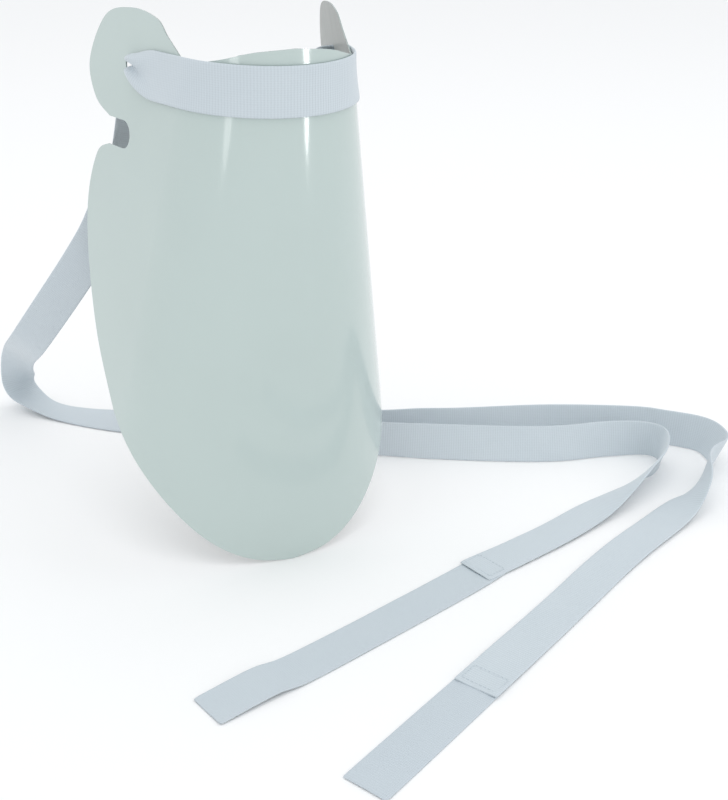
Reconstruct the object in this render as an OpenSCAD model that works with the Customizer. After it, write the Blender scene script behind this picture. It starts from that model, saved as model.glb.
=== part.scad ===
// Face shield: a clear sheet with a peel-off film on each face, bent round the face and hung from
// one webbing strap that runs across the brow, through a hole in each ear of the sheet, and closes
// behind the head with hook-and-loop tape. The origin is on the sheet at the middle of the brow,
// -Y points forward, away from the face, and the tip and the loose strap rest at surface_z.

/* [Sheet] */
// Thickness of the clear sheet
sheet_t = 0.5; // [0.3:0.05:1]
// Thickness of each peel-off film
film_t = 0.12; // [0.05:0.01:0.2]
// Gap that keeps a film clear of the sheet
film_gap = 0.02; // [0.01:0.01:0.05]
// Half-angle of the cone that the sheet is bent to
cone_half = 10.5; // [9:0.5:12]
// Distance along the sheet from the cone's apex to the brow
apex_rise = 255; // [240:5:280]
// Turn from the middle of the sheet to where each side runs flat
wrap_half = 79; // [70:1:82]
// How far the sheet's middle line leans in towards the chin
lean_back = 5; // [0:1:8]

/* [Ears] */
// Distance across the sheet from its middle to a strap hole
hole_x = 118; // [112:1:124]
// Height of the strap holes above the brow line
hole_y = 8; // [4:1:12]
// Radius of a strap hole
hole_r = 5; // [4.5:0.1:6]
// Width of the notch under each ear
notch_w = 15; // [12:0.5:16]
// Distance across the sheet from its middle to the notch's round end
notch_x = 123; // [120:1:126]

/* [Strap] */
// Width of the webbing and of both tapes
strap_w = 25; // [20:0.5:26]
// Thickness of the webbing
strap_t = 1.2; // [0.8:0.1:1.4]
// Width of the webbing where it is gathered in a hole
gathered_w = 7.5; // [6:0.5:8]
// Thickness of the webbing where it is gathered in a hole
gathered_t = 4; // [3:0.1:4.5]
// Thickness of the loop and hook tapes
tape_t = 1; // [0.8:0.1:1.2]
// Thickness of the sewing thread
thread_t = 0.4; // [0.3:0.05:0.6]

/* [Hidden] */
$fn = 64;

// ---- Outline of the flat sheet: half of it, from the middle outwards, seen from the front ----
// Top edge: a low arch over the brow, then a dip beside the ear
arch = [[0, 25], [20, 23], [40, 18], [62, 15]];
// Ear: up from the dip, round its outer end and back in to the notch
ear = [[62, 15], [79, 25], [92, 33], [119, 36], [149, 30], [167, 5], [158, -14], [140, -22]];
// Side and bottom: out from the notch, down the side and round to the tip
side = [[140, -37], [154, -44], [164, -70], [162, -104], [147, -150], [122, -190]];
chin = [[122, -190], [90, -219], [52, -252], [25, -266], [0, -270]];
notch_y = -29.5;
curve_steps = 5;

// ---- From the flat sheet to the bent one ----
cone_sin = sin(cone_half);
flat_half = wrap_half * cone_sin;   // the wrap's angle, seen on the flat sheet
centre_strips = 48;
skin_off = sheet_t / 2 + film_gap;

function polar(p) = [atan2(p[0], apex_rise - p[1]), norm([p[0], apex_rise - p[1]])];
function radial(turn) = [sin(turn), -cos(turn), 0];
function tangent(turn) = [cos(turn), sin(turn), 0];
function rule(turn) = cone_sin * radial(turn) - [0, 0, cos(cone_half)];
function outward(turn) = cos(cone_half) * radial(turn) + [0, 0, cone_sin];

// A point given by its angle and distance from the apex, in the cone's own frame
function on_cone(angle, r, off) =
    let (flat = min(max(angle, -flat_half), flat_half), turn = flat / cone_sin)
    r * cos(angle - flat) * rule(turn) + r * sin(angle - flat) * tangent(turn)
        + off * outward(turn);

// The cone's own frame is tipped and moved so that the brow is at the origin
tip_over = cone_half + lean_back;
function tip(p) = [p[0], p[1] * cos(tip_over) - p[2] * sin(tip_over),
                   p[1] * sin(tip_over) + p[2] * cos(tip_over)];
brow_on_cone = on_cone(0, apex_rise, 0);
function bend(p, off) = let (q = polar(p)) tip(on_cone(q[0], q[1], off) - brow_on_cone);
function bend_up(p) = let (a = bend(p, 0), b = bend(p + [0, 1], 0)) (b - a) / norm(b - a);

// Smooth curve through a list of points or of longer rows of numbers
function blend(a, b, c, d, t) =
    0.5 * ((2 * b) + (c - a) * t + (2 * a - 5 * b + 4 * c - d) * t * t
           + (3 * b - a - 3 * c + d) * t * t * t);
function smooth(rows, steps) =
    let (last = len(rows) - 1)
    concat([for (i = [0 : last - 1], k = [0 : steps - 1])
                blend(rows[max(i - 1, 0)], rows[i], rows[i + 1], rows[min(i + 2, last)],
                      k / steps)],
           [rows[last]]);

// Distance from the apex to the top and bottom edges at an angle on the flat sheet
top_table = [for (p = smooth(concat(arch, [ear[1]]), curve_steps)) polar(p)];
bottom_table = [for (p = smooth(concat([side[4]], chin), curve_steps)) polar(p)];
function top_r(angle) = lookup(abs(angle), top_table);
function bottom_r(angle) = lookup(abs(angle), bottom_table);

// The curved middle of a sheet between two offsets from the mid-surface, as narrow flat strips
module sheet_centre(from, to) {
    strips = [for (i = [0 : centre_strips]) flat_half * (2 * i / centre_strips - 1)];
    points = [for (a = strips)
                  each [on_cone(a, top_r(a), to), on_cone(a, bottom_r(a), to),
                        on_cone(a, bottom_r(a), from), on_cone(a, top_r(a), from)]];
    polyhedron(points, skin_faces(len(strips)));
}

// Triangles that close a row of four-cornered rings. Opposite walls are split along the same
// diagonal, so that a thin band stays evenly thick where it twists.
function skin_faces(rings) = concat(
    [for (i = [0 : rings - 2], k = [0 : 3])
         let (a = 4 * i + k, b = 4 * i + (k + 1) % 4)
         each (k < 2 ? [[a, b + 4, b], [a, a + 4, b + 4]] : [[a, a + 4, b], [a + 4, b + 4, b]])],
    [[0, 1, 2], [0, 2, 3]],
    let (end = 4 * (rings - 1)) [[end, end + 2, end + 1], [end, end + 3, end + 2]]);

// The flat side of the sheet beyond the wrap, drawn about the apex, with its hole and notch
module side_outline() {
    outline = concat(smooth(ear, curve_steps), smooth(side, curve_steps));
    beyond = [for (p = outline) let (q = polar(p)) if (q[0] > flat_half + 0.2) q];
    edge = concat([[flat_half, top_r(flat_half)]], beyond, [[flat_half, bottom_r(flat_half)]]);
    difference() {
        polygon([for (q = edge) q[1] * [sin(q[0] - flat_half), -cos(q[0] - flat_half)]]);
        rotate(-flat_half) translate([0, -apex_rise]) {
            translate([hole_x, hole_y]) circle(hole_r);
            translate([notch_x, notch_y]) circle(notch_w / 2);
            translate([notch_x, notch_y - notch_w / 2]) square([60, notch_w]);
        }
    }
}

module sheet_side(from, to) {
    rotate([0, 0, wrap_half]) rotate([90 - cone_half, 0, 0])
        translate([0, 0, from]) linear_extrude(to - from) side_outline();
}

// A whole bent sheet between two offsets from the mid-surface
module bent_sheet(from, to) {
    rotate([tip_over, 0, 0]) translate(-brow_on_cone) {
        sheet_centre(from, to);
        sheet_side(from, to);
        mirror([1, 0, 0]) sheet_side(from, to);
    }
}

module visor_sheet() {
    color("lightcyan", 0.5) bent_sheet(-sheet_t / 2, sheet_t / 2);
}

module outer_film() {
    color("honeydew") bent_sheet(skin_off, skin_off + film_t);
}

module inner_film() {
    color("honeydew") bent_sheet(-skin_off - film_t, -skin_off);
}

// ---- Strap and tapes: rows of [x, y, z, width direction x, y, z, width, thickness] ----
surface_z = -269;
flat_z = surface_z + 0.9;            // centre of webbing or tape that lies flat
strap_off = skin_off + film_t + 0.6 + strap_t / 2;
strap_rise = 5;
ring_steps = 2;

// A row on the bent sheet: w and t are the webbing's width and thickness there
function on_sheet(x, y, off, w, t) = concat(bend([x, y], off), bend_up([x, y]), [w, t]);

// The brow stretch, from the gathers at one hole to the gathers at the other
brow_end = 94;
brow_rings = 13;
brow_rows = [for (i = [0 : brow_rings - 1])
                 on_sheet(brow_end * (2 * i / (brow_rings - 1) - 1), strap_rise, strap_off,
                          strap_w, strap_t)];

// Gathered stretch through the hole on one side, from the front of the sheet to the back
function hole_rows(side) = [
    on_sheet(side * 105, hole_y - 2, strap_off + 0.8, 16, 2),
    on_sheet(side * (hole_x - 5), hole_y, strap_off + 1.5, 9, 3.4),
    on_sheet(side * hole_x, hole_y, 0, gathered_w, gathered_t),
    on_sheet(side * (hole_x + 2), hole_y, -8, 10, 3)];

// The wearer's right-hand strand: down behind the sheet, back along the surface and folded forward
right_hand_rows = [
    [-54, 112, -8, 0.4, -0.2, 0.9, 20, 1.6],
    [-52, 140, -48, 0.8, -0.2, 0.5, strap_w, strap_t],
    [-64, 160, -86, 0.8, -0.4, -0.1, strap_w, strap_t],
    [-80, 170, -116, 0.7, -0.5, -0.5, strap_w, strap_t],
    [-110, 225, -181, 0.75, -0.3, -0.55, strap_w, strap_t],
    [-113, 293, -218, 0.75, -0.5, -0.4, strap_w, strap_t],
    [-112, 322, -243, 0.87, -0.03, -0.22, strap_w, strap_t],
    [-110, 324, -257, 0.85, 0.42, 0.12, strap_w, strap_t],
    [-99, 306, -264.5, 0.7, 0.65, -0.1, strap_w, strap_t],
    [-81, 284, -267, 0.7, 0.7, 0.05, strap_w, strap_t],
    [-50, 252, -264.5, 0.54, 0.8, 0.27, strap_w, strap_t],
    [-5, 216, -259, 0.4, 0.58, 0.7, strap_w, strap_t],
    [90, 138, -256, 0, 0.1, 1, strap_w, strap_t],
    [152, 103, -257, 0.15, 0.36, 0.92, strap_w, strap_t],
    [210, 74, -257, 0.15, 0.36, 0.92, strap_w, strap_t],
    [252, 63, -256.5, 0.15, 0.3, 0.94, strap_w, strap_t],
    [276, 52, -256, 0, 0.1, 1, strap_w, strap_t],
    [281, 39, -256, 0.1, 0, 1, strap_w, strap_t],
    [268, 22, -256.5, 0.2, -0.2, 0.95, strap_w, strap_t],
    [248, 12, -258.4, 0.3, -0.5, 0.8, strap_w, strap_t],
    [196, -5, -266, 0.3, -0.9, 0.15, strap_w, strap_t],
    [150, -20, flat_z + 0.6, 0.3, -0.95, 0.03, strap_w, strap_t],
    [90, -36, flat_z + 1.6, 0.28, -0.96, 0, strap_w, strap_t]];

// The wearer's left-hand strand: down inside the sheet, out to the far bend and back to the front
left_hand_rows = [
    [54, 112, -12, -0.3, -0.2, 0.93, 20, 1.6],
    [52, 135, -70, -0.85, -0.1, 0.5, strap_w, strap_t],
    [58, 150, -180, -1, 0, 0.2, strap_w, strap_t],
    [88, 154, -248, -0.3, 0.1, 0.95, strap_w, strap_t],
    [150, 134, -256.5, 0.1, 0.35, 0.93, strap_w, strap_t],
    [228, 106, -256.5, 0.1, 0.35, 0.93, strap_w, strap_t],
    [284, 78, -256.5, 0.12, 0.3, 0.95, strap_w, strap_t],
    [302, 62, -256.5, 0.15, 0.2, 0.96, strap_w, strap_t],
    [318, 44, -257, 0.4, 0, 0.9, strap_w, strap_t],
    [318, 28, -257, 0.45, -0.15, 0.87, strap_w, strap_t],
    [309, 13, -256.5, 0.35, -0.2, 0.92, strap_w, strap_t],
    [288, 0, -256, 0.1, -0.1, 0.98, strap_w, strap_t],
    [265, -19, -259.5, 0.35, -0.6, 0.7, strap_w, strap_t],
    [238, -30, -266.5, 0.45, -0.88, 0.1, strap_w, strap_t],
    [178, -56, flat_z + 0.6, 0.45, -0.89, 0, strap_w, strap_t],
    [106, -94, flat_z, 0.43, -0.9, 0, strap_w, strap_t],
    [38, -130, flat_z + 1.6, 0.48, -0.88, 0, strap_w, strap_t]];

// The two tapes start under the webbing's ends and run on past them
loop_rows = [
    [106, -31, flat_z - 0.2, 0.3, -0.96, 0, strap_w, tape_t],
    [72, -44, flat_z - 0.2, 0.3, -0.95, 0, strap_w, tape_t],
    [-30, -77, flat_z - 0.2, 0.25, -0.97, 0, strap_w, tape_t],
    [-55, -83, flat_z + 1.5, 0.2, -0.97, 0, strap_w, tape_t],
    [-88, -92, flat_z - 0.2, 0.25, -0.97, 0, strap_w, tape_t]];
hook_rows = [
    [54, -121, flat_z - 0.2, -0.48, 0.88, 0, strap_w, tape_t],
    [-40, -170, flat_z - 0.2, -0.45, 0.9, 0, strap_w, tape_t]];

function turned(list) = [for (i = [len(list) - 1 : -1 : 0]) list[i]];
function at(row) = [row[0], row[1], row[2]];

// The four corners of the webbing's cross-section at row i
function band_ring(rows, i) =
    let (last = len(rows) - 1,
         along = at(rows[min(i + 1, last)]) - at(rows[max(i - 1, 0)]),
         run = along / norm(along),
         across = [rows[i][3], rows[i][4], rows[i][5]],
         square_on = across - (across * run) * run,
         u = square_on / norm(square_on) * rows[i][6] / 2,
         n = cross(run, u / norm(u)) * rows[i][7] / 2,
         p = at(rows[i]))
    [p + u + n, p - u + n, p - u - n, p + u - n];

module band(rows) {
    polyhedron([for (i = [0 : len(rows) - 1]) each band_ring(rows, i)], skin_faces(len(rows)));
}

module strap() {
    color("lavender")
        band(concat(turned(right_hand_rows), turned(hole_rows(-1)), brow_rows,
                    hole_rows(1), smooth(left_hand_rows, ring_steps)));
}

module loop_tape() {
    color("gainsboro") band(smooth(loop_rows, ring_steps));
}

module hook_tape() {
    color("whitesmoke") band(hook_rows);
}

// Sewing that holds a strap end to its tape: a box of thread on top of the webbing
module stitch_box(end, angle) {
    long = 12;
    wide = strap_w - 5;
    translate([end[0], end[1], flat_z + 1.6 + strap_t / 2 + 0.15]) rotate(angle)
        translate([3, -wide / 2]) linear_extrude(thread_t) difference() {
            square([long, wide]);
            translate([thread_t, thread_t]) square([long - 2 * thread_t, wide - 2 * thread_t]);
        }
}

module loop_stitching() {
    color("white") stitch_box(right_hand_rows[len(right_hand_rows) - 1], 16);
}

module hook_stitching() {
    color("white") stitch_box(left_hand_rows[len(left_hand_rows) - 1], 27);
}

visor_sheet();
outer_film();
inner_film();
strap();
loop_tape();
hook_tape();
loop_stitching();
hook_stitching();
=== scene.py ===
from math import atan2, cos, hypot, pi, radians, sin

import bmesh
import bpy
from mathutils import Matrix, Vector


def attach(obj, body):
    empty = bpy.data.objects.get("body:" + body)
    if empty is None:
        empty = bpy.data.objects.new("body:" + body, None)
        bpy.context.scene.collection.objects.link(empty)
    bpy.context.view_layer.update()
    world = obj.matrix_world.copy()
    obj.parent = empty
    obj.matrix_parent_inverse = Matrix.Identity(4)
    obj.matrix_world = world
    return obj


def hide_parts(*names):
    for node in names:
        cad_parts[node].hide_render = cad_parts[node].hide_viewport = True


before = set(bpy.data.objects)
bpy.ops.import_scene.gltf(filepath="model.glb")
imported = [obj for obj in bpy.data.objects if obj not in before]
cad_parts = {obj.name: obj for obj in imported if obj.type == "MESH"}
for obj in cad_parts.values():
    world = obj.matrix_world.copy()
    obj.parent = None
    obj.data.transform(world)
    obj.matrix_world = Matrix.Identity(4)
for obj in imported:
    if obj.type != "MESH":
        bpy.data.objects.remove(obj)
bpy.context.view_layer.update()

# ---- Clear visor sheet ----
# One 0.5 mm sheet of clear PET, die-cut with an ear at each temple, a strap hole in each ear and a
# notch under it. The strap's pull bends it round the face to a cone with flat sides.
mm = 0.001
sheet_thick = 0.5 * mm
apex_rise = 255
cone_half = radians(10.5)
tip_over = radians(15.5)
wrap = radians(79)
flat_half = wrap * sin(cone_half)
top_of_sheet = [(0, 25), (20, 23), (40, 18), (62, 15)]
ear = [(62, 15), (79, 25), (92, 33), (119, 36), (149, 30), (167, 5), (158, -14), (140, -22)]
side = [(140, -37), (154, -44), (164, -70), (162, -104), (147, -150), (122, -190)]
chin = [(122, -190), (90, -219), (52, -252), (25, -266), (0, -270)]
hole = (118, 8)
hole_r = 5
notch_end = (123, -29.5)
notch_r = 7.5
notch_mouth = 140
strips_each_side = 56
net = 12
weld = 0.02


def smooth_row(rows, steps):
    """Catmull-Rom through rows of numbers, as the die maker's spline runs."""
    last = len(rows) - 1
    out = []
    for i in range(last):
        a, b, c, d = rows[max(i - 1, 0)], rows[i], rows[i + 1], rows[min(i + 2, last)]
        for k in range(steps):
            t = k / steps
            out.append([0.5 * (2 * q + (r - p) * t + (2 * p - 5 * q + 4 * r - s) * t * t
                               + (3 * q - p - 3 * r + s) * t ** 3)
                        for p, q, r, s in zip(a, b, c, d)])
    return out + [list(rows[last])]


def on_cone(angle, r, off):
    flat = min(max(angle, -flat_half), flat_half)
    turn = flat / sin(cone_half)
    rule = Vector((sin(cone_half) * sin(turn), -sin(cone_half) * cos(turn), -cos(cone_half)))
    out = Vector((cos(cone_half) * sin(turn), -cos(cone_half) * cos(turn), sin(cone_half)))
    along = Vector((cos(turn), sin(turn), 0))
    return r * cos(angle - flat) * rule + r * sin(angle - flat) * along + off * out


def bend(x, y, off=0.0):
    """Point of the bent sheet for a point of the flat one, all in mm; off is outwards."""
    p = on_cone(atan2(x, apex_rise - y), hypot(x, apex_rise - y), off)
    return Matrix.Rotation(tip_over, 3, "X") @ (p - on_cone(0, apex_rise, 0))


def die_cut():
    """The flat cut as a filled bmesh: outline, notches and both strap holes, split into strips."""
    half = [p for p in smooth_row(top_of_sheet + ear[1:2], 8)[:-8]] + smooth_row(ear, 8)[:-1]
    nx, ny = notch_end
    half += [[notch_mouth, ny + notch_r]]
    half += [[nx - notch_r * sin(t * pi / 16), ny + notch_r * cos(t * pi / 16)] for t in range(17)]
    half += smooth_row(side, 8)[:-1] + smooth_row(chin, 8)
    outline = half + [[-x, y] for x, y in reversed(half[1:-1])]
    bm = bmesh.new()
    rings = [outline] + [[(s * hole[0] + hole_r * cos(t * pi / 24), hole[1] + hole_r * sin(t * pi / 24))
                          for t in range(48)] for s in (-1, 1)]
    edges = []
    for ring in rings:
        verts = [bm.verts.new((x, y, 0)) for x, y in ring]
        edges += [bm.edges.new((verts[i], verts[i - 1])) for i in range(len(verts))]
    bmesh.ops.triangle_fill(bm, use_beauty=True, edges=edges)
    cuts = []
    for i in range(-strips_each_side, strips_each_side + 1):
        a = flat_half * i / strips_each_side
        cuts.append(((0, apex_rise, 0), (cos(a), sin(a), 0)))
    cuts += [((0, y, 0), (0, 1, 0)) for y in range(-260, 35, net)]
    cuts += [((x, 0, 0), (1, 0, 0)) for x in [*range(-160, -85, net), *range(88, 165, net)]]
    for point, square_to in cuts:
        bmesh.ops.bisect_plane(bm, geom=bm.verts[:] + bm.edges[:] + bm.faces[:], dist=1e-5,
                               plane_co=point, plane_no=square_to)
    bmesh.ops.remove_doubles(bm, verts=bm.verts, dist=weld)
    return bm


def bent_skin(name, off, thick):
    """One die-cut skin, bent at off mm outside the sheet's middle and thick metres through."""
    bm = die_cut()
    for v in bm.verts:
        v.co = bend(v.co.x, v.co.y, off) * mm
    bmesh.ops.recalc_face_normals(bm, faces=bm.faces)
    front = min(bm.faces, key=lambda f: f.calc_center_median().y)
    if front.normal.y > 0:
        bmesh.ops.reverse_faces(bm, faces=bm.faces)
    bmesh.ops.solidify(bm, geom=bm.faces[:], thickness=thick)
    mesh = bpy.data.meshes.new(name)
    bm.to_mesh(mesh)
    bm.free()
    mesh.polygons.foreach_set("use_smooth", [True] * len(mesh.polygons))
    mesh.set_sharp_from_angle(angle=radians(35))
    piece = bpy.data.objects.new(name, mesh)
    bpy.context.collection.objects.link(piece)
    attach(piece, "root")
    return piece


def finish_of(name, colour, rough):
    """A new principled material with its node tree and its shader."""
    mat = bpy.data.materials.new(name)
    mat.use_nodes = True
    tree = mat.node_tree
    shader = tree.nodes["Principled BSDF"]
    shader.inputs["Base Color"].default_value = (*colour, 1)
    shader.inputs["Roughness"].default_value = rough
    return mat, tree, shader


def node(tree, kind, links=(), **sockets):
    """Adds a node, sets its sockets and properties, and links (from socket, socket name) pairs."""
    n = tree.nodes.new(kind)
    for key, value in sockets.items():
        key = key.replace("_", " ")
        if key in n.inputs:
            n.inputs[key].default_value = value
        else:
            setattr(n, key.replace(" ", "_"), value)
    for source, target in links:
        tree.links.new(source, n.inputs[target])
    return n


def ramp(tree, source, low, high, dark, light):
    """A colour or value ramp between two places on a 0..1 pattern."""
    r = node(tree, "ShaderNodeValToRGB", [(source, "Fac")])
    r.color_ramp.elements[0].position = low
    r.color_ramp.elements[1].position = high
    r.color_ramp.elements[0].color = (*dark, 1)
    r.color_ramp.elements[1].color = (*light, 1)
    return r


visor = bent_skin("visor_sheet_clear", sheet_thick / mm / 2, sheet_thick)
clear, tree, shader = finish_of("clear PET", (0.72, 0.84, 0.82), 0.06)
shader.inputs["IOR"].default_value = 1.57
shader.inputs["Transmission Weight"].default_value = 0.55
place = node(tree, "ShaderNodeTexCoord")
haze = node(tree, "ShaderNodeTexNoise", [(place.outputs["Object"], "Vector")], Scale=40.0, Detail=3.0)
tree.links.new(ramp(tree, haze.outputs["Fac"], 0.3, 0.7, (0.05,) * 3, (0.12,) * 3).outputs["Color"],
               shader.inputs["Roughness"])
visor.data.materials.append(clear)
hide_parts("visor_sheet")

# ---- Peel-off films ----
# A milky polyethylene film is rolled on to each face of the sheet before it is cut, and stays on
# until the shield is first worn. It is glossy, faintly uneven and carries light rub marks.
film_t = 0.12
film_off = 0.25 + 0.02


def milky_film(name, colour, rough, gloss):
    mat, tree, shader = finish_of(name, colour, rough)
    shader.inputs["IOR"].default_value = 1.5
    shader.inputs["Specular IOR Level"].default_value = 0.4 * gloss
    shader.inputs["Coat Weight"].default_value = 0.3 * gloss
    shader.inputs["Coat Roughness"].default_value = 0.05
    place = node(tree, "ShaderNodeTexCoord")
    cloud = node(tree, "ShaderNodeTexNoise", [(place.outputs["Object"], "Vector")], Scale=9.0,
                 Detail=4.0, Roughness=0.55)
    tone = ramp(tree, cloud.outputs["Fac"], 0.3, 0.7, [c * 0.975 for c in colour],
                [min(c * 1.02, 1) for c in colour])
    speck = node(tree, "ShaderNodeTexNoise", [(place.outputs["Object"], "Vector")], Scale=900.0,
                 Detail=1.0)
    dust = ramp(tree, speck.outputs["Fac"], 0.72, 0.8, (1, 1, 1), (0.97, 0.975, 0.98))
    mix = node(tree, "ShaderNodeMix", data_type="RGBA", blend_type="MULTIPLY")
    mix.inputs[0].default_value = 1.0
    tree.links.new(tone.outputs["Color"], mix.inputs[6])
    tree.links.new(dust.outputs["Color"], mix.inputs[7])
    tree.links.new(mix.outputs[2], shader.inputs["Base Color"])
    stretch = node(tree, "ShaderNodeMapping", [(place.outputs["Object"], "Vector")])
    stretch.inputs["Scale"].default_value = (1.0, 1.0, 0.06)
    scuff = node(tree, "ShaderNodeTexNoise", [(stretch.outputs["Vector"], "Vector")], Scale=260.0,
                 Detail=5.0, Roughness=0.6)
    worn = ramp(tree, scuff.outputs["Fac"], 0.35, 0.75, (rough * 0.9,) * 3, (rough * 1.2,) * 3)
    tree.links.new(worn.outputs["Color"], shader.inputs["Roughness"])
    wave = node(tree, "ShaderNodeTexNoise", [(place.outputs["Object"], "Vector")], Scale=22.0,
                Detail=2.0)
    bump = node(tree, "ShaderNodeBump", [(wave.outputs["Fac"], "Height")], Strength=0.08,
                Distance=0.002)
    tree.links.new(bump.outputs["Normal"], shader.inputs["Normal"])
    return mat


outer = bent_skin("outer_film_milky", film_off + film_t, film_t * mm)
outer.data.materials.append(milky_film("milky film outside", (0.50, 0.585, 0.565), 0.13, 1.0))
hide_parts("outer_film")

inner = bent_skin("inner_film_milky", -film_off, film_t * mm)
# The inside film is the same milky film as the outside one. Its darker, greyer colour is painted shade,
# taken from the shaded inner face of an ear.
inner.data.materials.append(milky_film("milky film inside painted shade", (0.42, 0.435, 0.42), 0.4, 0.3))
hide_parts("inner_film")

# ---- Strap ----
# One 25 mm cross-ribbed polyester webbing, about 2.2 m long. It crosses the brow outside the sheet,
# is gathered through a hole in each ear, and its two ends lie loose on the surface.
surface_z = -269.0
flat_z = surface_z + 0.9
web_w = 25.0
web_t = 1.2
strap_off = film_off + film_t + 0.5 + web_t / 2
brow_end = 94
brow_rise = 5
ease_passes = 9


def on_sheet(x, y, off, w, t):
    p, q = bend(x, y, off), bend(x, y + 1, off)
    return [*p, *(q - p).normalized(), w, t]


def hole_rows(s):
    return [on_sheet(s * 105, hole[1] - 2, strap_off + 0.8, 19, 2),
            on_sheet(s * 113, hole[1], strap_off + 1.5, 11, 3.4),
            on_sheet(s * 119, hole[1], 0, 8.5, 4),
            on_sheet(s * 120, hole[1], -8, 10, 3)]


brow_rows = [on_sheet(brow_end * (i / 8 - 1), brow_rise, strap_off, web_w, web_t)
             for i in range(17)]
right_hand_rows = [
    [-54, 112, -8, 0.4, -0.2, 0.9, 20, 1.6],
    [-52, 140, -48, 0.8, -0.2, 0.5, web_w, web_t],
    [-64, 160, -86, 0.8, -0.4, -0.1, web_w, web_t],
    [-80, 170, -116, 0.7, -0.5, -0.5, web_w, web_t],
    [-110, 225, -181, 0.75, -0.3, -0.55, web_w, web_t],
    [-113, 293, -218, 0.75, -0.5, -0.4, web_w, web_t],
    [-112, 322, -243, 0.87, -0.03, -0.22, web_w, web_t],
    [-110, 324, -257, 0.85, 0.42, 0.12, web_w, web_t],
    [-99, 306, -264.5, 0.7, 0.65, -0.1, web_w, web_t],
    [-81, 284, -267, 0.7, 0.7, 0.05, web_w, web_t],
    [-50, 252, -264.5, 0.54, 0.8, 0.27, web_w, web_t],
    [-5, 216, -259, 0.4, 0.58, 0.7, web_w, web_t],
    [90, 138, -256, 0, 0.1, 1, web_w, web_t],
    [152, 103, -257, 0.15, 0.36, 0.92, web_w, web_t],
    [210, 74, -257, 0.15, 0.36, 0.92, web_w, web_t],
    [252, 63, -256.5, 0.15, 0.3, 0.94, web_w, web_t],
    [276, 52, -256, 0, 0.1, 1, web_w, web_t],
    [281, 39, -256, 0.1, 0, 1, web_w, web_t],
    [268, 22, -256.5, 0.2, -0.2, 0.95, web_w, web_t],
    [248, 12, -258.4, 0.3, -0.5, 0.8, web_w, web_t],
    [196, -5, -266, 0.3, -0.9, 0.15, web_w, web_t],
    [150, -20, flat_z + 0.6, 0.3, -0.95, 0.03, web_w, web_t],
    [90, -36, flat_z + 0.92, 0.28, -0.96, 0, web_w, web_t]]
left_hand_rows = [
    [54, 112, -12, -0.3, -0.2, 0.93, 20, 1.6],
    [52, 135, -70, -0.85, -0.1, 0.5, web_w, web_t],
    [58, 150, -180, -1, 0, 0.2, web_w, web_t],
    [88, 154, -248, -0.3, 0.1, 0.95, web_w, web_t],
    [150, 134, -256.5, 0.1, 0.35, 0.93, web_w, web_t],
    [228, 106, -256.5, 0.1, 0.35, 0.93, web_w, web_t],
    [284, 78, -256.5, 0.12, 0.3, 0.95, web_w, web_t],
    [302, 62, -256.5, 0.15, 0.2, 0.96, web_w, web_t],
    [318, 44, -257, 0.4, 0, 0.9, web_w, web_t],
    [318, 28, -257, 0.45, -0.15, 0.87, web_w, web_t],
    [309, 13, -256.5, 0.35, -0.2, 0.92, web_w, web_t],
    [288, 0, -256, 0.1, -0.1, 0.98, web_w, web_t],
    [265, -19, -259.5, 0.35, -0.6, 0.7, web_w, web_t],
    [238, -30, -266.5, 0.45, -0.88, 0.1, web_w, web_t],
    [178, -56, flat_z + 0.6, 0.45, -0.89, 0, web_w, web_t],
    [106, -94, flat_z, 0.43, -0.9, 0, web_w, web_t],
    [38, -130, flat_z + 0.92, 0.48, -0.88, 0, web_w, web_t]]


def even_rings(rows, fine, coarse):
    """Rows at 1 mm, eased, then thinned: fine mm apart where the band bends, else coarse."""
    dense = []
    for a, b in zip(rows, rows[1:]):
        n = max(1, round((Vector(b[:3]) - Vector(a[:3])).length))
        dense += [[p + (q - p) * k / n for p, q in zip(a, b)] for k in range(n)]
    dense.append(list(rows[-1]))
    for _ in range(ease_passes):
        dense = [dense[0]] + [[(p + 2 * q + r) / 4 for p, q, r in zip(*dense[i - 1:i + 2])]
                              for i in range(1, len(dense) - 1)] + [dense[-1]]
    cost, rings, last = 0.0, [dense[0] + [0.0]], 0.0
    length = 0.0
    for i in range(1, len(dense)):
        step = Vector(dense[i][:3]) - Vector(dense[i - 1][:3])
        length += step.length
        ahead = Vector(dense[min(i + 1, len(dense) - 1)][:3]) - Vector(dense[i][:3])
        bendy = step.angle(ahead, 0) + Vector(dense[i][3:6]).angle(Vector(dense[i - 1][3:6]), 0)
        cost += max(step.length / coarse, min(step.length / fine, bendy / radians(4)))
        if cost - last >= 1 or i == len(dense) - 1:
            rings.append(dense[i] + [length])
            last = cost
    return rings, length


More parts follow.
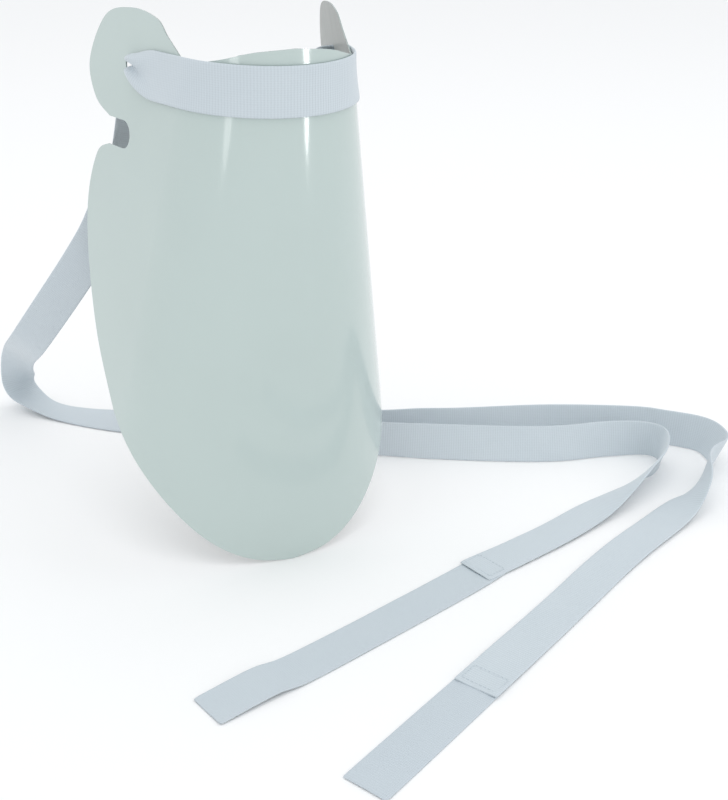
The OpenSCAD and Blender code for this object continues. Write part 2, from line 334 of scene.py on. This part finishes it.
def webbing(name, rows, pleats, across=16, thick=web_t, fine=1.5, coarse=5.0, ripple=0.25):
    """A flat band along the rows. Where a row is narrower than the webbing, it is pleated."""
    rings, length = even_rings(rows, fine, coarse)
    last = len(rings) - 1
    bm = bmesh.new()
    bmesh.ops.create_grid(bm, x_segments=across, y_segments=last, size=0.5, calc_uvs=True)
    uv = bm.loops.layers.uv.verify()
    for f in bm.faces:
        for loop in f.loops:
            u, v = loop.vert.co.x + 0.5, loop.vert.co.y + 0.5
            loop[uv].uv = (u * web_w * mm, rings[round(v * last)][8] * mm)
    for vert in bm.verts:
        i, u = round((vert.co.y + 0.5) * last), vert.co.x
        p = Vector(rings[i][:3])
        run = (Vector(rings[min(i + 1, last)][:3]) - Vector(rings[max(i - 1, 0)][:3])).normalized()
        side_to = Vector(rings[i][3:6])
        side_to = (side_to - side_to.dot(run) * run).normalized()
        up = run.cross(side_to)
        w, s = rings[i][6], rings[i][8]
        squeeze = max(0.0, 1 - (w / web_w) ** 2) ** 0.5
        fold = 0.6 * squeeze * web_w / (4 * pleats) * sin(2 * pi * pleats * (u + 0.5) + 0.6)
        lie = ripple * (sin(s / 17 + 3 * u) * 0.5 + sin(s / 7.3 - 5 * u + 1) * 0.3) * (1 - squeeze)
        cup = 0.35 * (4 * u * u - 0.5) * (1 - squeeze)
        vert.co = (p + side_to * (u * w) + up * (fold + lie + cup)) * mm
    mesh = bpy.data.meshes.new(name)
    bmesh.ops.recalc_face_normals(bm, faces=bm.faces)
    bm.to_mesh(mesh)
    bm.free()
    mesh.polygons.foreach_set("use_smooth", [True] * len(mesh.polygons))
    piece = bpy.data.objects.new(name, mesh)
    bpy.context.collection.objects.link(piece)
    wall = piece.modifiers.new("thickness", "SOLIDIFY")
    wall.thickness = thick * mm
    wall.offset = 0
    edge = piece.modifiers.new("selvedge", "SUBSURF")
    edge.levels = edge.render_levels = 1
    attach(piece, "root")
    return piece, length * mm


def ribbed_cloth(name, colour, rib, depth, twill=0.35, fuzz=0.0):
    """Woven band: ribs rib metres apart across the band, warp threads along it, soft sheen."""
    mat, tree, shader = finish_of(name, colour, 0.82)
    shader.inputs["Sheen Weight"].default_value = 0.35
    shader.inputs["Sheen Roughness"].default_value = 0.45
    shader.inputs["Specular IOR Level"].default_value = 0.25
    uv = node(tree, "ShaderNodeTexCoord")
    turn = node(tree, "ShaderNodeMapping", [(uv.outputs["UV"], "Vector")])
    ribs = node(tree, "ShaderNodeTexWave", [(turn.outputs["Vector"], "Vector")],
                wave_type="BANDS", bands_direction="Y", Scale=2 * pi / (20 * rib), Distortion=0.4,
                Detail=1.0, Detail_Scale=900.0)
    warp = node(tree, "ShaderNodeTexWave", [(turn.outputs["Vector"], "Vector")],
                wave_type="BANDS", bands_direction="X", Scale=2 * pi / (20 * rib * 0.7))
    weave = node(tree, "ShaderNodeMix", data_type="FLOAT")
    weave.inputs[0].default_value = twill
    tree.links.new(ribs.outputs["Fac"], weave.inputs[2])
    tree.links.new(warp.outputs["Fac"], weave.inputs[3])
    fluff = node(tree, "ShaderNodeTexNoise", [(turn.outputs["Vector"], "Vector")], Scale=2600.0,
                 Detail=3.0)
    height = node(tree, "ShaderNodeMix", data_type="FLOAT")
    height.inputs[0].default_value = 0.2 + fuzz
    tree.links.new(weave.outputs[0], height.inputs[2])
    tree.links.new(fluff.outputs["Fac"], height.inputs[3])
    bump = node(tree, "ShaderNodeBump", [(height.outputs[0], "Height")], Strength=0.45,
                Distance=depth)
    tree.links.new(bump.outputs["Normal"], shader.inputs["Normal"])
    # The band's colour is darker where the weave lies low. This is painted shade in the grooves between
    # the ribs, mixed with some random fibre tone from the fluff noise.
    tone = ramp(tree, height.outputs[0], 0.15, 0.75, [c * 0.94 for c in colour],
                [min(1, c * 1.03) for c in colour])
    patch = node(tree, "ShaderNodeTexNoise", [(turn.outputs["Vector"], "Vector")], Scale=28.0,
                 Detail=3.0)
    soft = ramp(tree, patch.outputs["Fac"], 0.3, 0.7, (0.975, 0.98, 0.985), (1, 1, 1))
    mix = node(tree, "ShaderNodeMix", data_type="RGBA", blend_type="MULTIPLY")
    mix.inputs[0].default_value = 1.0
    tree.links.new(tone.outputs["Color"], mix.inputs[6])
    tree.links.new(soft.outputs["Color"], mix.inputs[7])
    tree.links.new(mix.outputs[2], shader.inputs["Base Color"])
    return mat


strap_rows = (smooth_row(right_hand_rows[::-1], 8) + smooth_row(hole_rows(-1)[::-1] + brow_rows
              + hole_rows(1), 4) + smooth_row(left_hand_rows, 8))
strap, strap_length = webbing("strap_webbing", strap_rows, pleats=1.5)
strap.data.materials.append(ribbed_cloth("ribbed webbing", (0.575, 0.635, 0.675),
                                         0.0016, 0.00022))
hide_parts("strap")

# ---- Hook-and-loop tapes ----
# A long brushed loop tape is sewn under one strap end and a short hook tape under the other, so the
# strap closes at any head size. Both are 25 mm nylon tape with cut ends and plain selvedges.
tape_t = 1.0
loop_rows = [
    [106, -31, flat_z - 0.2, 0.3, -0.96, 0, web_w, tape_t],
    [72, -44, flat_z - 0.2, 0.3, -0.95, 0, web_w, tape_t],
    [-30, -77, flat_z - 0.2, 0.25, -0.97, 0, web_w, tape_t],
    [-55, -83, flat_z + 1.5, 0.2, -0.97, 0, web_w, tape_t],
    [-88, -92, flat_z - 0.2, 0.25, -0.97, 0, web_w, tape_t]]
hook_rows = [
    [54, -121, flat_z - 0.2, -0.48, 0.88, 0, web_w, tape_t],
    [-40, -170, flat_z - 0.2, -0.45, 0.9, 0, web_w, tape_t]]
loop, loop_length = webbing("loop_tape_pile", smooth_row(loop_rows, 10), pleats=1.5, thick=tape_t,
                            ripple=0.15)
loop.data.materials.append(ribbed_cloth("loop pile", (0.55, 0.61, 0.65),
                                        0.0012, 0.0003, twill=0.5, fuzz=0.5))
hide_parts("loop_tape")

hook, hook_length = webbing("hook_tape_rows", smooth_row(hook_rows, 10), pleats=1.5, thick=tape_t,
                            ripple=0.1)
hook.data.materials.append(ribbed_cloth("hook rows", (0.545, 0.605, 0.65),
                                        0.0014, 0.0004, twill=0.5, fuzz=0.15))
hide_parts("hook_tape")

# ---- Stitching ----
# A box of lock stitches in polyester thread holds each strap end down on its tape.
thread_r = 0.13 * mm
stitch_half = 0.95 * mm
stitch_pitch = 2.6
box_near, box_far, box_half = 3, 15, 10
seam_z = flat_z + 0.92 + web_t / 2 + 0.05


def box_of_stitches(name, end, angle, cad_node):
    bm = bmesh.new()
    """Stitches laid nose to tail round a box that starts a little way in from the strap's end."""
    turn = Matrix.Translation(Vector((end[0], end[1], seam_z)) * mm)
    turn = turn @ Matrix.Rotation(radians(angle), 4, "Z")
    corners = [Vector(p) for p in ((box_near, -box_half, 0), (box_far, -box_half, 0),
                                   (box_far, box_half, 0), (box_near, box_half, 0),
                                   (box_near, -box_half, 0))]
    for a, b in zip(corners, corners[1:]):
        n = round((b - a).length / stitch_pitch)
        for k in range(n):
            mid = a.lerp(b, (k + 0.5) / n) * mm
            lie = (b - a).to_track_quat("Z", "Y").to_matrix().to_4x4()
            shape = Matrix.Diagonal((thread_r, thread_r, stitch_half, 1))
            bmesh.ops.create_uvsphere(bm, u_segments=8, v_segments=6, radius=1,
                                      matrix=turn @ Matrix.Translation(mid) @ lie @ shape)
    mesh = bpy.data.meshes.new(name)
    bm.to_mesh(mesh)
    bm.free()
    mesh.polygons.foreach_set("use_smooth", [True] * len(mesh.polygons))
    piece = bpy.data.objects.new(name, mesh)
    bpy.context.collection.objects.link(piece)
    piece.data.materials.append(thread)
    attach(piece, "root")
    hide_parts(cad_node)
    return piece


thread, tree, shader = finish_of("sewing thread", (0.58, 0.64, 0.68), 0.7)
place = node(tree, "ShaderNodeTexCoord")
twist = node(tree, "ShaderNodeTexNoise", [(place.outputs["Object"], "Vector")], Scale=4000.0)
bump = node(tree, "ShaderNodeBump", [(twist.outputs["Fac"], "Height")], Strength=0.4, Distance=0.0001)
tree.links.new(bump.outputs["Normal"], shader.inputs["Normal"])
tree.links.new(ramp(tree, twist.outputs["Fac"], 0.3, 0.7, (0.54, 0.60, 0.64), (0.60, 0.66, 0.70))
               .outputs["Color"], shader.inputs["Base Color"])
loop_seam = box_of_stitches("loop_stitches", right_hand_rows[-1], 16, "loop_stitching")
hook_seam = box_of_stitches("hook_stitches", left_hand_rows[-1], 27, "hook_stitching")

# ---- Studio ----
# A plain pale table top, soft overhead and front lights, and two narrow side lights that only show
# as bright lines in the gloss of the sheet.
bm = bmesh.new()
bmesh.ops.create_grid(bm, x_segments=1, y_segments=1, size=14,
                      matrix=Matrix.Translation((0, 4, surface_z * mm)))
mesh = bpy.data.meshes.new("table_top")
bm.to_mesh(mesh)
bm.free()
table = bpy.data.objects.new("table_top", mesh)
bpy.context.collection.objects.link(table)
pale, tree, shader = finish_of("pale table", (0.93, 0.93, 0.93), 0.9)
shader.inputs["Specular IOR Level"].default_value = 0.1
table.data.materials.append(pale)

world = bpy.data.worlds.new("studio")
world.use_nodes = True
world.node_tree.nodes["Background"].inputs["Color"].default_value = (0.97, 0.985, 1, 1)
world.node_tree.nodes["Background"].inputs["Strength"].default_value = 1.0
bpy.context.scene.world = world
bpy.context.scene.view_settings.view_transform = "Standard"


def soft_light(name, place, aim, wide, tall, watts):
    lamp = bpy.data.lights.new(name, "AREA")
    lamp.shape = "RECTANGLE"
    lamp.size = wide
    lamp.size_y = tall
    lamp.energy = watts
    obj = bpy.data.objects.new(name, lamp)
    bpy.context.collection.objects.link(obj)
    obj.location = place
    obj.rotation_euler = (Vector(aim) - Vector(place)).to_track_quat("-Z", "Y").to_euler()
    return obj


soft_light("overhead", (0.2, -0.3, 2.4), (0.05, 0, -0.2), 2.6, 2.6, 12)
soft_light("front", (0.9, -2.2, 0.5), (0, 0, -0.1), 1.6, 1.6, 3)
for name, spot, wide, watts in (("right strip", (0.41, -0.55, -0.07), 0.12, 1.8),
                                ("left strip", (-0.62, -0.35, -0.02), 0.16, 0.55)):
    strip = soft_light(name, spot, (0, 0, -0.03), wide, 0.4, watts)
    strip.data.shape = "ELLIPSE"
    strip.visible_camera = False
    strip.visible_diffuse = False

camera = bpy.data.cameras.new("camera")
camera.lens = 50.5
camera.sensor_width = 36
view = bpy.data.objects.new("camera", camera)
bpy.context.collection.objects.link(view)
view.location = (-0.1965, -0.5194, 0.0838)
view.rotation_euler = (radians(66.52), 0, radians(-24.14))
bpy.context.scene.camera = view
